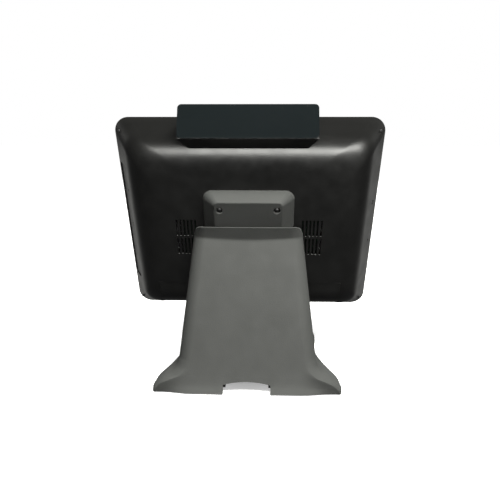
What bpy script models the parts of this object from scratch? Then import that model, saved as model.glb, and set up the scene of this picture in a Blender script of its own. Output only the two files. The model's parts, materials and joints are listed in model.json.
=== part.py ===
"""Desk-standing all-in-one point-of-sale touch terminal.

A 15-inch screen head with a pillow-shaped rear cover leans back on a bell-shaped stand. A customer
display sits on top of the head, a neck cover hides the bolted arm behind it, and two friction
hinges in the stand let the head tilt.

World frame: X across the screen, -Y towards the cashier, +Y towards the customer, +Z up, the
origin on the counter in the middle of the footprint. Head pieces are drawn in the head's own
frame: x across, n from the screen's rim plane towards the rear, s up the screen.
"""

import math

import bmesh
import bpy
from mathutils import Vector

# ---- driving dimensions, in metres and degrees ------------------------------------------------
GAP = 0.0003                    # left between pieces that touch
SCREEN_W = 0.360
SCREEN_H = 0.300
SCREEN_CORNER_R = 0.020
SCREEN_CENTRE = Vector((0.0, -0.0375, 0.200))   # middle of the rim plane
SCREEN_TILT = math.radians(15.7)                # lean back at rest
BEZEL_DEPTH = 0.014
BEZEL_EDGE = 0.003
WALL = 0.0025
COVER_DEPTH = 0.050             # rim plane to the flat of the back
VIEW_W = 0.306                  # window in the bezel
VIEW_H = 0.230

HINGE_N = 0.062                 # tilt axis in the head's frame
HINGE_S = 0.002
SHAFT_R = 0.004
SHAFT_CLEARANCE = 0.00015

NECK_BASE_HALF_W = 0.061
NECK_FACE_HALF_W = 0.0445
NECK_TOP_S = 0.068
NECK_FACE_TOP_S = 0.0585
NECK_LOW_S = 0.016
NECK_FACE_N = 0.070
VESA_HALF = 0.0375
VESA_CENTRE_S = 0.0097

VENT_COUNT = 6
VENT_PITCH = 0.00505
VENT_W = 0.0020
VENT_FIRST_X = 0.0735
VENT_ROWS = ((-0.0010, 0.0229), (-0.0300, -0.0051))     # lower and upper end of each row

IO_HALF_W = 0.133
IO_TOP_S = -0.079
IO_OPEN_N = 0.008               # the open bottom of the connector bay starts here
IO_COVER_LOW_N = 0.036          # and the cover's lower edge is here
IO_PLATE_S = -0.104
MOUTH_DEPTH = 0.0080            # connector mouths, above the plate they stand through
BOARD_LIFT = 0.006              # studs that hold the mainboard off the chassis

MODULE_HALF_S = 0.090
MODULE_LOW = 0.004              # along the side wall, from the rim
MODULE_HIGH = 0.026
MODULE_RECESS = 0.0012

DISPLAY_HALF_W = 0.087
DISPLAY_LOW_HALF_W = 0.075
DISPLAY_FACE_LOW = (0.0621, 0.1413)     # (n, s) of the face's lower and upper edges
DISPLAY_FACE_HIGH = (0.0349, 0.1753)
DISPLAY_FRONT_N = 0.008
DISPLAY_FRONT_TOP_S = 0.166
DISPLAY_WINDOW_T = 0.0022

STAND_TOP = 0.203
STAND_LOW = 0.0012              # the covers stop just above the counter
STAND_WALL = 0.003
FOOT_REAR_Y = 0.1125
FOOT_FRONT_Y = -0.1125
PARTING_Y = 0.0140              # joint between the rear and front covers
FRONT_WALL_TOP = 0.141          # clears the hinge arm when the head leans forward
NOTCH_HALF_W = 0.0305
NOTCH_SIDE_H = 0.0108
NOTCH_RISE = 0.0036             # of the shallow arch over the notch
FOOT_R = 0.008
PLATE_T = 0.003
PLATE_LOW = 0.0029

COLUMN_HALF_W = 0.050
COLUMN_T = 0.0025
COLUMN_WEB_Y = 0.040
COLUMN_FRONT_Y = 0.0150

# ---- materials -------------------------------------------------------------------------------
FINISHES = {
    "black_shell": ((0.020, 0.020, 0.021), 0.38, 0.0),
    "grey_shell": ((0.072, 0.076, 0.078), 0.62, 0.0),
    "smoked_window": ((0.012, 0.014, 0.016), 0.15, 0.0),
    "touch_glass": ((0.010, 0.011, 0.013), 0.06, 0.0),
    "panel_metal": ((0.55, 0.56, 0.57), 0.40, 1.0),
    "steel": ((0.50, 0.50, 0.50), 0.35, 1.0),
    "black_steel": ((0.025, 0.025, 0.027), 0.45, 1.0),
    "aluminium": ((0.72, 0.73, 0.74), 0.38, 1.0),
    "circuit_board": ((0.020, 0.110, 0.050), 0.55, 0.0),
    "connector": ((0.60, 0.60, 0.58), 0.30, 1.0),
    "connector_plastic": ((0.030, 0.030, 0.034), 0.50, 0.0),
    "rubber": ((0.015, 0.015, 0.015), 0.85, 0.0),
    "display_tube": ((0.05, 0.10, 0.09), 0.10, 0.0),
}


def clear_scene():
    for thing in list(bpy.data.objects):
        bpy.data.objects.remove(thing, do_unlink=True)


def finish_material(key):
    name = "finish_" + key
    found = bpy.data.materials.get(name)
    if found:
        return found
    colour, rough, metal = FINISHES[key]
    made = bpy.data.materials.new(name)
    made.use_nodes = True
    shader = made.node_tree.nodes["Principled BSDF"]
    shader.inputs["Base Color"].default_value = (*colour, 1.0)
    shader.inputs["Roughness"].default_value = rough
    shader.inputs["Metallic"].default_value = metal
    return made


# ---- object helpers ---------------------------------------------------------------------------
def add_object(name, bm, key=None, parent=None, sharp=35):
    """Turn a bmesh into an object, with its normals outwards and its edges shaded by angle."""
    bmesh.ops.recalc_face_normals(bm, faces=bm.faces)
    mesh = bpy.data.meshes.new(name)
    bm.to_mesh(mesh)
    bm.free()
    mesh.shade_smooth()
    mesh.set_sharp_from_angle(angle=math.radians(sharp))
    made = bpy.data.objects.new(name, mesh)
    bpy.context.scene.collection.objects.link(made)
    if key:
        made.data.materials.append(finish_material(key))
    if parent:
        made.parent = parent
    return made


def add_cutter(name, bm, parent=None):
    made = add_object(name, bm, parent=parent)
    made.hide_render = True
    made.display_type = "WIRE"
    return made


def boolean(target, tool, operation="DIFFERENCE"):
    step = target.modifiers.new(operation.lower(), "BOOLEAN")
    step.operation = operation
    step.solver = "EXACT"
    step.object = tool


def loft(rings, closed=False):
    """A solid through rings with equal point counts, capped at both ends or closed on itself.

    Its sides are triangles, because a bent four-sided face has no exact cut with another solid.
    """
    bm = bmesh.new()
    rows = [[bm.verts.new(point) for point in ring] for ring in rings]
    count = len(rows[0])
    pairs = list(zip(rows, rows[1:]))
    if closed:
        pairs.append((rows[-1], rows[0]))
    for low, high in pairs:
        for i in range(count):
            j = (i + 1) % count
            bm.faces.new((low[i], low[j], high[j], high[i]))
    bmesh.ops.triangulate(bm, faces=list(bm.faces))
    if not closed:
        bm.faces.new(rows[0])
        bm.faces.new(rows[-1])
    return bm


def merge(parts):
    """One bmesh that holds several separate bodies, for a cutter."""
    whole = bmesh.new()
    for part in parts:
        spare = bpy.data.meshes.new("spare")
        part.to_mesh(spare)
        part.free()
        whole.from_mesh(spare)
        bpy.data.meshes.remove(spare)
    return whole


def box(low, high):
    bm = bmesh.new()
    bmesh.ops.create_cube(bm, size=1.0)
    size = Vector(high) - Vector(low)
    middle = (Vector(high) + Vector(low)) / 2
    bmesh.ops.scale(bm, verts=bm.verts, vec=size)
    bmesh.ops.translate(bm, verts=bm.verts, vec=middle)
    return bm


def rounded_box(low, high, radius, segments=2):
    bm = box(low, high)
    bmesh.ops.bevel(bm, geom=list(bm.edges), offset=radius, segments=segments, affect="EDGES", profile=0.5)
    return bm


def turned(profile, axis="Y", sides=20):
    """A round solid from (radius, position) pairs along an axis, both ends capped."""
    rings = []
    for radius, along in profile:
        ring = []
        for k in range(sides):
            angle = 2 * math.pi * k / sides
            a, b = radius * math.cos(angle), radius * math.sin(angle)
            ring.append({"X": (along, a, b), "Y": (a, along, b), "Z": (a, b, along)}[axis])
        rings.append(ring)
    return loft(rings)


def moved(bm, x=0.0, y=0.0, z=0.0):
    bmesh.ops.translate(bm, verts=bm.verts, vec=(x, y, z))
    return bm


def arc_points(cx, cy, radius, start, end, steps):
    return [
        (
            cx + radius * math.cos(math.radians(start + (end - start) * k / steps)),
            cy + radius * math.sin(math.radians(start + (end - start) * k / steps)),
        )
        for k in range(steps + 1)
    ]


def rounded_rectangle(left, right, low, high, radius, steps=5):
    """Corner arcs of a rectangle, anticlockwise from its right edge's lower corner."""
    points = arc_points(right - radius, low + radius, radius, -90, 0, steps)
    points += arc_points(right - radius, high - radius, radius, 0, 90, steps)
    points += arc_points(left + radius, high - radius, radius, 90, 180, steps)
    points += arc_points(left + radius, low + radius, radius, 180, 270, steps)
    return points


def extrude_profile(profile, low_x, high_x):
    """A prism along x from (n, s) points."""
    return loft([[(x, n, s) for n, s in profile] for x in (low_x, high_x)])


# ---- head frame -------------------------------------------------------------------------------
def head_to_world(x, n, s):
    lean_s, lean_c = math.sin(SCREEN_TILT), math.cos(SCREEN_TILT)
    return SCREEN_CENTRE + Vector((x, s * lean_s + n * lean_c, s * lean_c - n * lean_s))


def head_object(name, bm, key, axis, sharp=35):
    """A head piece: its mesh is drawn in the head's frame, and hung on the tilt axis."""
    made = add_object(name, moved(bm, 0, -HINGE_N, -HINGE_S), key, axis, sharp)
    return made


def head_cutter(name, bm, axis):
    return add_cutter(name, moved(bm, 0, -HINGE_N, -HINGE_S), axis)


# ---- rear cover's pillow form -----------------------------------------------------------------
WALL_TOP_N = 0.027              # the straight wall's height, before the shoulder curves in
SHOULDER_N = (WALL_TOP_N, 0.046, COVER_DEPTH, COVER_DEPTH)
INSETS = {                      # how far in the shoulder's control points lie, on each side
    "top": (0.0130, 0.0220, 0.0360, 0.0580),
    "side": (0.0160, 0.0260, 0.0450, 0.0700),
    "bottom": (0.0200, 0.0310, 0.0400, 0.0580),
}
PILLOW_CORNER_R = (SCREEN_CORNER_R, 0.022, 0.030)
SHOULDER_STEPS = 7


def bezier(controls, t):
    a, b, c, d = controls
    u = 1 - t
    return u * u * u * a + 3 * u * u * t * b + 3 * u * t * t * c + t * t * t * d


def pillow_profile(side):
    """(inset, n) from the rim, up the straight wall and over the shoulder to the flat."""
    controls = INSETS[side]
    points = [(0.0, GAP / 2), (controls[0] / 2, WALL_TOP_N / 2)]
    for k in range(SHOULDER_STEPS + 1):
        t = k / SHOULDER_STEPS
        points.append((bezier(controls, t), bezier(SHOULDER_N, t)))
    return points


def offset_profile(points, distance):
    """The same profile moved along its inward normal, with its rim end kept at the rim plane."""
    result = []
    for k, (inset, n) in enumerate(points):
        before, after = points[max(k - 1, 0)], points[min(k + 1, len(points) - 1)]
        run, rise = after[0] - before[0], after[1] - before[1]
        length = math.hypot(run, rise)
        result.append((inset + distance * rise / length, n - distance * run / length))
    result[0] = (result[0][0], points[0][1])
    return result


def pillow_rings(distance=0.0):
    sides = {side: pillow_profile(side) for side in INSETS}
    if distance:
        sides = {side: offset_profile(points, distance) for side, points in sides.items()}
    rings = []
    total = len(sides["top"])
    for k in range(total):
        n = sides["top"][k][1]
        wall_r, shoulder_r = PILLOW_CORNER_R[1], PILLOW_CORNER_R[2]
        part = max(0.0, (k - 2) / (total - 3))
        radius = wall_r + (shoulder_r - wall_r) * part if k else PILLOW_CORNER_R[0]
        outline = rounded_rectangle(
            -SCREEN_W / 2 + sides["side"][k][0],
            SCREEN_W / 2 - sides["side"][k][0],
            -SCREEN_H / 2 + sides["bottom"][k][0],
            SCREEN_H / 2 - sides["top"][k][0],
            radius - distance / 2,
        )
        rings.append([(x, n, s) for x, s in outline])
    return rings


def side_wall_frame(side_sign):
    """Directions along and out of the straight side wall, and the wall's foot at the rim."""
    inset = INSETS["side"][0]
    length = math.hypot(inset, WALL_TOP_N)
    up = Vector((-side_sign * inset / length, WALL_TOP_N / length, 0.0))
    out = Vector((side_sign * WALL_TOP_N / length, inset / length, 0.0))
    foot = Vector((side_sign * SCREEN_W / 2, 0.0, 0.0))
    return foot, up, out


def side_wall_block(side_sign, low, high, half_s, inner, outer, corner=0.0):
    """A block on the side wall: low..high along it, inner..outer along its normal."""
    foot, up, out = side_wall_frame(side_sign)
    if corner:
        outline = rounded_rectangle(low, high, -half_s, half_s, corner, 3)
    else:
        outline = [(high, -half_s), (high, half_s), (low, half_s), (low, -half_s)]
    rings = []
    for depth in (inner, outer):
        rings.append([foot + up * a + out * depth + Vector((0, 0, b)) for a, b in outline])
    return loft(rings)


def side_wall_round(side_sign, along, s, profile, sides=16):
    """A round solid whose axis is the side wall's normal; (radius, depth) pairs."""
    foot, up, out = side_wall_frame(side_sign)
    rings = []
    for radius, depth in profile:
        ring = []
        for k in range(sides):
            angle = 2 * math.pi * k / sides
            offset = up * (along + radius * math.cos(angle)) + Vector((0, 0, s + radius * math.sin(angle)))
            ring.append(foot + out * depth + offset)
        rings.append(ring)
    return loft(rings)


SIDE_SCREWS = ((0.0150, 0.034, 0.0032), (0.0150, -0.027, 0.0021))   # along the wall, s, radius
MODULE_SCREWS = ((0.0200, 0.052), (0.0200, 0.001))
COVER_SCREW_X = 0.172
COVER_SCREW_S = 0.134
COVER_BOSS_R = 0.0046
COVER_POCKET_R = 0.0026
COVER_POCKET_N = 0.0090


def cover_screw_places():
    return [
        ("upper_left", -COVER_SCREW_X, COVER_SCREW_S),
        ("upper_right", COVER_SCREW_X, COVER_SCREW_S),
        ("lower_left", -COVER_SCREW_X, -COVER_SCREW_S),
        ("lower_right", COVER_SCREW_X, -COVER_SCREW_S),
    ]


def neck_screw_places():
    return [
        ("upper_left", -VESA_HALF, VESA_CENTRE_S + VESA_HALF),
        ("upper_right", VESA_HALF, VESA_CENTRE_S + VESA_HALF),
        ("lower_left", -VESA_HALF, VESA_CENTRE_S - VESA_HALF),
        ("lower_right", VESA_HALF, VESA_CENTRE_S - VESA_HALF),
    ]


def vent_cutter():
    slots = []
    for low, high in VENT_ROWS:
        for k in range(VENT_COUNT):
            for sign in (-1, 1):
                x = sign * (VENT_FIRST_X + k * VENT_PITCH)
                slots.append(box((x - VENT_W / 2, 0.040, low), (x + VENT_W / 2, 0.060, high)))
    return merge(slots)


def make_rear_cover(axis):
    cover = head_object("rear_cover", loft(pillow_rings()), "black_shell", axis, 30)
    hollow_rings = pillow_rings(WALL)
    open_ring = [(x, n - 0.004, s) for x, n, s in hollow_rings[0]]
    hollow = head_cutter("rear_cover_hollow", loft([open_ring] + hollow_rings), axis)
    bosses = [
        moved(turned([(COVER_BOSS_R, -0.010), (COVER_BOSS_R, 0.045)]), x, 0, s)
        for _, x, s in cover_screw_places()
    ]
    boss_tool = head_cutter("rear_cover_bosses", merge(bosses), axis)
    boolean(hollow, boss_tool)
    boolean(cover, hollow)
    pockets = [
        moved(turned([(COVER_POCKET_R, COVER_POCKET_N), (COVER_POCKET_R, 0.060)], sides=16), x, 0, s)
        for _, x, s in cover_screw_places()
    ]
    pockets += [
        moved(turned([(0.0016, -0.010), (0.0016, 0.012)], sides=12), x, 0, s)
        for _, x, s in cover_screw_places()
    ]
    pocket_tool = head_cutter("rear_cover_pockets", merge(pockets[:4]), axis)
    boolean(cover, pocket_tool)
    drill_tool = head_cutter("rear_cover_drills", merge(pockets[4:]), axis)
    boolean(cover, drill_tool)
    boolean(cover, head_cutter("vent_slots", vent_cutter(), axis))
    bay = box((-IO_HALF_W, IO_OPEN_N, -0.160), (IO_HALF_W, 0.060, IO_TOP_S))
    boolean(cover, head_cutter("io_bay_cut", bay, axis))
    module = side_wall_block(1, MODULE_LOW, MODULE_HIGH, MODULE_HALF_S, -0.006, 0.006, 0.003)
    boolean(cover, head_cutter("side_module_cut", module, axis))
    dimples = [
        side_wall_round(-1, along, s, [(radius, -0.0014), (radius, 0.004)])
        for along, s, radius in SIDE_SCREWS
    ]
    boolean(cover, head_cutter("side_dimples", merge(dimples), axis))
    holes = [
        moved(turned([(0.0023, 0.040), (0.0023, 0.056)], sides=16), x, 0, s)
        for _, x, s in neck_screw_places()
    ]
    holes.append(rounded_box((-0.018, 0.040, 0.020), (0.018, 0.060, 0.040), 0.003, 1))
    boolean(cover, head_cutter("neck_holes", merge(holes), axis))


def make_cover_screws(axis):
    for name, x, s in cover_screw_places():
        head_n = COVER_POCKET_N + GAP
        profile = [
            (0.0012, -0.0075),
            (0.0012, head_n),
            (0.0021, head_n),
            (0.0021, head_n + 0.0010),
            (0.0014, head_n + 0.0017),
        ]
        head_object("rear_cover_screw_" + name, moved(turned(profile, sides=14), x, 0, s), "steel", axis)


def make_side_screws(axis):
    for name, (along, s, radius) in zip(("upper", "lower"), SIDE_SCREWS):
        head_r = radius - GAP
        profile = [(head_r, -0.0014 + GAP), (head_r, -0.0007), (head_r * 0.6, -0.0002)]
        piece = side_wall_round(-1, along, s, profile)
        head_object("side_plug_" + name, piece, "black_shell", axis)


def make_side_module(axis):
    piece = side_wall_block(
        1,
        MODULE_LOW + GAP,
        MODULE_HIGH - GAP,
        MODULE_HALF_S - GAP,
        -MODULE_RECESS - 0.0022,
        -MODULE_RECESS,
        0.003 - GAP,
    )
    cover = head_object("side_module_cover", piece, "black_shell", axis)
    dimples = [
        side_wall_round(1, along, s, [(0.0015, -MODULE_RECESS - 0.0009), (0.0015, 0.002)], 12)
        for along, s in MODULE_SCREWS
    ]
    boolean(cover, head_cutter("side_module_dimples", merge(dimples), axis))
    for name, (along, s) in zip(("upper", "lower"), MODULE_SCREWS):
        low = -MODULE_RECESS - 0.0009 + GAP
        profile = [(0.0012, low), (0.0012, low + 0.0003), (0.0007, low + 0.0006)]
        piece = side_wall_round(1, along, s, profile, 12)
        head_object("side_module_screw_" + name, piece, "steel", axis)


def io_cover_profile():
    """The stretch of the pillow's lower edge that the cover replaces, set in a little."""
    outer = []
    for inset, n in pillow_profile("bottom"):
        s = -SCREEN_H / 2 + inset
        if n > IO_COVER_LOW_N and s < IO_TOP_S - 0.004:
            outer.append((inset, n))
    outer.append((SCREEN_H / 2 + IO_TOP_S - GAP, COVER_DEPTH))
    rear = offset_profile(outer, 0.0008)
    inner = offset_profile(outer, 0.0030)
    points = [(n, -SCREEN_H / 2 + inset) for inset, n in rear]
    points += [(n, -SCREEN_H / 2 + inset) for inset, n in reversed(inner)]
    return points


def make_io_cover(axis):
    piece = extrude_profile(io_cover_profile(), -IO_HALF_W + GAP, IO_HALF_W - GAP)
    head_object("io_cover", piece, "black_shell", axis, 30)


# ---- front of the head ------------------------------------------------------------------------
BUTTON_X = 0.150
BUTTON_S = -0.1365
BUTTON_R = 0.0038
BUTTON_FLANGE_R = 0.0052
BUTTON_HOLE_R = 0.0042
BUTTON_TRAVEL = 0.0012


def bezel_posts():
    """Hollow posts in the bezel's corners that the rear cover's screws bite into."""
    profile = [(0.0036, -BEZEL_DEPTH + WALL - 0.001), (0.0036, -GAP), (0.0015, -GAP), (0.0015, -0.0085)]
    return merge([moved(turned(profile, sides=16), x, 0, s) for _, x, s in cover_screw_places()])


def make_bezel(axis):
    half_w, half_h = SCREEN_W / 2, SCREEN_H / 2

    def ring(inset, n, radius):
        outline = rounded_rectangle(-half_w + inset, half_w - inset, -half_h + inset, half_h - inset, radius)
        return [(x, n, s) for x, s in outline]

    def window_ring(n, grow):
        w, h = VIEW_W / 2 + grow, VIEW_H / 2 + grow
        return [(x, n, s) for x, s in rounded_rectangle(-w, w, -h, h, 0.002)]

    front = -BEZEL_DEPTH
    rings = [
        ring(0, -GAP / 2, SCREEN_CORNER_R),
        ring(0, front + BEZEL_EDGE, SCREEN_CORNER_R),
        ring(0.0010, front + 0.0010, SCREEN_CORNER_R - 0.001),
        ring(BEZEL_EDGE, front, SCREEN_CORNER_R - BEZEL_EDGE),
        window_ring(front, 0.0015),
        window_ring(front + WALL, 0.0),
        ring(WALL, front + WALL, SCREEN_CORNER_R - WALL),
        ring(WALL, -GAP / 2, SCREEN_CORNER_R - WALL),
    ]
    bezel = head_object("front_bezel", loft(rings, closed=True), "black_shell", axis, 30)
    hole = turned([(BUTTON_HOLE_R, front - 0.005), (BUTTON_HOLE_R, front + 0.005)], sides=24)
    boolean(bezel, head_cutter("button_hole", moved(hole, BUTTON_X, 0, BUTTON_S), axis))
    boolean(bezel, head_cutter("bezel_posts", bezel_posts(), axis), "UNION")


def make_screen_stack(axis):
    glass_n = -BEZEL_DEPTH + WALL + GAP
    glass = rounded_box((-0.165, glass_n, -0.128), (0.165, glass_n + 0.0028, 0.128), 0.0006, 1)
    head_object("touch_glass", glass, "touch_glass", axis)
    panel_n = glass_n + 0.0028 + GAP
    panel = rounded_box((-0.1632, panel_n, -0.1268), (0.1632, panel_n + 0.011, 0.1268), 0.0010, 1)
    head_object("lcd_panel", panel, "panel_metal", axis)
    plate_n = panel_n + 0.011 + GAP
    plate = box((-0.160, plate_n, -0.100), (0.160, plate_n + 0.0015, 0.128))
    chassis = head_object("chassis_plate", plate, "steel", axis)
    windows = [
        box((x - 0.022, plate_n - 0.002, s - 0.018), (x + 0.022, plate_n + 0.004, s + 0.018))
        for x in (-0.125, 0.125)
        for s in (-0.030, 0.060)
    ]
    boolean(chassis, head_cutter("chassis_windows", merge(windows), axis))
    stud = [(0.0028, plate_n + 0.0005), (0.0028, plate_n + 0.0015 + BOARD_LIFT - GAP)]
    studs = [
        moved(turned(stud, sides=8), x, 0, s)
        for x in (-0.094, 0.094)
        for s in (-0.095, 0.004)
    ]
    boolean(chassis, head_cutter("chassis_studs", merge(studs), axis), "UNION")
    return plate_n + 0.0015


def make_power_button(axis):
    """A round button whose flange stays behind the bezel's face."""
    front = -BEZEL_DEPTH
    behind = front + WALL + GAP
    profile = [
        (BUTTON_R - 0.0008, front - 0.0009),
        (BUTTON_R, front - 0.0004),
        (BUTTON_R, behind),
        (BUTTON_FLANGE_R, behind),
        (BUTTON_FLANGE_R, behind + 0.0012),
        (0.0015, behind + 0.0012),
        (0.0015, behind + 0.0022),
    ]
    button = moved(turned(profile, sides=24), BUTTON_X, 0, BUTTON_S)
    head_object("power_button", button, "black_shell", axis)
    switch_n = behind + 0.0022 + BUTTON_TRAVEL + GAP
    board = rounded_box(
        (BUTTON_X - 0.011, switch_n, BUTTON_S - 0.0065),
        (BUTTON_X + 0.009, switch_n + 0.0030, BUTTON_S + 0.0065),
        0.0005,
        1,
    )
    head_object("power_switch_board", board, "circuit_board", axis)


def make_electronics(axis, plate_n):
    board_n = plate_n + BOARD_LIFT
    board = box((-0.100, board_n, IO_PLATE_S + 0.0026), (0.100, board_n + 0.0016, 0.010))
    head_object("mainboard", board, "circuit_board", axis)
    sink_low = board_n + 0.0016 + 0.0025
    sink = box((-0.040, sink_low, -0.070), (0.040, sink_low + 0.018, 0.000))
    heatsink = head_object("cpu_heatsink", sink, "aluminium", axis)
    slots = []
    for k in range(8):
        x = -0.0345 + k * 0.0094
        slots.append(box((x, sink_low + 0.004, -0.080), (x + 0.0032, sink_low + 0.030, 0.010)))
    boolean(heatsink, head_cutter("heatsink_slots", merge(slots), axis))
    chip = box((-0.016, board_n + 0.0016 + GAP, -0.050), (0.016, sink_low - GAP, -0.018))
    head_object("cpu_package", chip, "connector_plastic", axis)
    drive = rounded_box((-0.035, plate_n + GAP, 0.030), (0.035, plate_n + 0.0072, 0.127), 0.0008, 1)
    head_object("ssd_drive", drive, "black_steel", axis)
    for name, sign in (("left", -1), ("right", 1)):
        low_x, high_x = sorted((sign * 0.108, sign * 0.148))
        speaker = rounded_box((low_x, plate_n + GAP, -0.096), (high_x, plate_n + 0.018, -0.072), 0.0015, 1)
        head_object("speaker_" + name, speaker, "connector_plastic", axis)
    return board_n


CONNECTORS = (                  # name, middle x, width, depth in n, finish
    ("power_inlet", -0.086, 0.018, 0.012, "connector_plastic"),
    ("lan_port", -0.060, 0.016, 0.014, "connector"),
    ("usb_port_lower", -0.036, 0.014, 0.016, "connector"),
    ("usb_port_upper", -0.017, 0.014, 0.016, "connector"),
    ("video_port", 0.013, 0.031, 0.012, "connector"),
    ("serial_port_left", 0.049, 0.016, 0.013, "connector"),
    ("serial_port_right", 0.070, 0.016, 0.013, "connector"),
    ("drawer_port", 0.089, 0.012, 0.012, "connector_plastic"),
)


def make_io_bay(axis, board_n):
    """Connectors on the board's lower edge, behind a steel plate, with their mouths downwards."""
    base_n = board_n + 0.0016 + GAP
    plate = box((-0.120, board_n - 0.0020, IO_PLATE_S), (0.120, board_n + 0.0210, IO_PLATE_S + 0.0012))
    io_plate = head_object("io_plate", plate, "steel", axis)
    openings = []
    for name, x, width, depth, key in CONNECTORS:
        half = width / 2
        openings.append(
            box(
                (x - half - GAP, base_n - GAP, IO_PLATE_S - 0.004),
                (x + half + GAP, base_n + depth + GAP, IO_PLATE_S + 0.004),
            )
        )
        shell = box(
            (x - half, base_n, IO_PLATE_S - 0.0018),
            (x + half, base_n + depth, IO_PLATE_S + 0.014),
        )
        body = head_object(name, shell, key, axis)
        lip = 0.0012
        mouth = box(
            (x - half + lip, base_n + lip, IO_PLATE_S - 0.010),
            (x + half - lip, base_n + depth - lip, IO_PLATE_S + MOUTH_DEPTH),
        )
        boolean(body, head_cutter(name + "_mouth", mouth, axis))
    boolean(io_plate, head_cutter("io_plate_openings", merge(openings), axis))


# ---- arm, hinge and neck cover ----------------------------------------------------------------
LUG_X = 0.0405
LUG_T = 0.0025
LUG_R = 0.0100
EAR_R = 0.0100


def make_arm(axis):
    """The plate bolted to the head's back, with two lugs that carry the hinge shafts."""
    low_n = COVER_DEPTH + GAP
    high_n = low_n + 0.0025
    low_s, high_s = VESA_CENTRE_S - VESA_HALF - 0.010, VESA_CENTRE_S + VESA_HALF + 0.008
    plate = rounded_box((-0.0450, low_n, low_s), (0.0450, high_n, high_s), 0.0004, 1)
    arm = head_object("hinge_arm", plate, "black_steel", axis)
    for sign in (-1, 1):
        outline = [(low_n + 0.0010, -0.020), (low_n + 0.0010, 0.014)]
        outline += arc_points(HINGE_N, HINGE_S, LUG_R, 60, -60, 8)
        low_x, high_x = sorted((sign * LUG_X, sign * (LUG_X + LUG_T)))
        lug = head_cutter("hinge_lug_%s" % ("left" if sign < 0 else "right"),
                          extrude_profile(outline, low_x, high_x), axis)
        boolean(arm, lug, "UNION")
    hole_r = SHAFT_R + SHAFT_CLEARANCE
    bore = moved(turned([(hole_r, -0.060), (hole_r, 0.060)], "X", 24), 0, HINGE_N, HINGE_S)
    boolean(arm, head_cutter("hinge_arm_bore", bore, axis))
    holes = [
        moved(turned([(0.0022, 0.040), (0.0022, 0.060)], sides=16), x, 0, s)
        for _, x, s in neck_screw_places()
    ]
    holes.append(box((-0.016, 0.040, 0.016), (0.016, 0.060, 0.036)))
    boolean(arm, head_cutter("hinge_arm_holes", merge(holes), axis))


def make_hinges(axis, stand):
    """Each shaft turns with the arm inside a friction barrel that is fixed to the column."""
    for name, sign in (("left", -1), ("right", 1)):
        ends = sorted((sign * 0.0365, sign * 0.0630))
        shaft = moved(turned([(SHAFT_R, ends[0]), (SHAFT_R, ends[1])], "X", 24), 0, HINGE_N, HINGE_S)
        head_object("hinge_shaft_" + name, shaft, "steel", axis)
        near = COLUMN_HALF_W + GAP
        ends = sorted((sign * near, sign * (near + 0.0120)))
        barrel = moved(turned([(0.0085, ends[0]), (0.0085, ends[1])], "X", 24), *axis.location)
        piece = add_object("hinge_barrel_" + name, barrel, "black_steel", stand)
        bore_r = SHAFT_R + SHAFT_CLEARANCE
        bore = moved(turned([(bore_r, -0.080), (bore_r, 0.080)], "X", 24), *axis.location)
        boolean(piece, add_cutter("hinge_barrel_bore_" + name, bore, stand))


def neck_ring(half_w, top_s, n, radius):
    outline = arc_points(half_w - radius, top_s - radius, radius, 0, 90, 5)
    outline += arc_points(-half_w + radius, top_s - radius, radius, 90, 180, 5)
    outline += [(-half_w, NECK_LOW_S), (half_w, NECK_LOW_S)]
    return [(x, n, s) for x, s in outline]


def make_neck_cover(axis):
    low_n = COVER_DEPTH + GAP
    outer = [
        neck_ring(NECK_BASE_HALF_W, NECK_TOP_S, low_n, 0.0125),
        neck_ring(NECK_BASE_HALF_W - 0.0012, NECK_TOP_S - 0.0006, low_n + 0.0045, 0.0120),
        neck_ring(NECK_FACE_HALF_W + 0.0015, NECK_FACE_TOP_S + 0.0007, NECK_FACE_N - 0.0008, 0.0060),
        neck_ring(NECK_FACE_HALF_W, NECK_FACE_TOP_S, NECK_FACE_N, 0.0050),
    ]
    cover = head_object("neck_cover", loft(outer), "grey_shell", axis, 25)
    hollow = []
    for half_w, top_s, n, radius in (
        (NECK_BASE_HALF_W, NECK_TOP_S, low_n - 0.002, 0.0100),
        (NECK_BASE_HALF_W - 0.0012, NECK_TOP_S - 0.0006, low_n + 0.0045 - 0.0005, 0.0095),
        (NECK_FACE_HALF_W + 0.0015, NECK_FACE_TOP_S + 0.0007, NECK_FACE_N - 0.0008 - WALL, 0.0040),
    ):
        ring = neck_ring(half_w - WALL, top_s - WALL, n, radius)
        hollow.append([(x, n_, s if s > NECK_LOW_S + 1e-6 else s - 0.010) for x, n_, s in ring])
    hollow_tool = head_cutter("neck_cover_hollow", loft(hollow), axis)
    bosses = [
        moved(turned([(0.0050, low_n + 0.0030), (0.0050, 0.080)], sides=20), x, 0, s)
        for name, x, s in neck_screw_places()
        if name.startswith("upper")
    ]
    boolean(hollow_tool, head_cutter("neck_cover_bosses", merge(bosses), axis))
    boolean(cover, hollow_tool)
    wells = [
        moved(turned([(0.0036, NECK_FACE_N - 0.0040), (0.0036, 0.080)], sides=20), x, 0, s)
        for name, x, s in neck_screw_places()
        if name.startswith("upper")
    ]
    boolean(cover, head_cutter("neck_cover_wells", merge(wells), axis))
    drills = [
        moved(turned([(0.0023, 0.050), (0.0023, 0.075)], sides=16), x, 0, s)
        for name, x, s in neck_screw_places()
        if name.startswith("upper")
    ]
    boolean(cover, head_cutter("neck_cover_drills", merge(drills), axis))


def make_neck_screws(axis):
    for name, x, s in neck_screw_places():
        seat = NECK_FACE_N - 0.0040 if name.startswith("upper") else COVER_DEPTH + GAP + 0.0025
        seat += GAP
        profile = [
            (0.0018, 0.0440),
            (0.0018, seat),
            (0.0031, seat),
            (0.0031, seat + 0.0014),
            (0.0022, seat + 0.0022),
        ]
        head_object("neck_screw_" + name, moved(turned(profile, sides=16), x, 0, s), "steel", axis)


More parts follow.
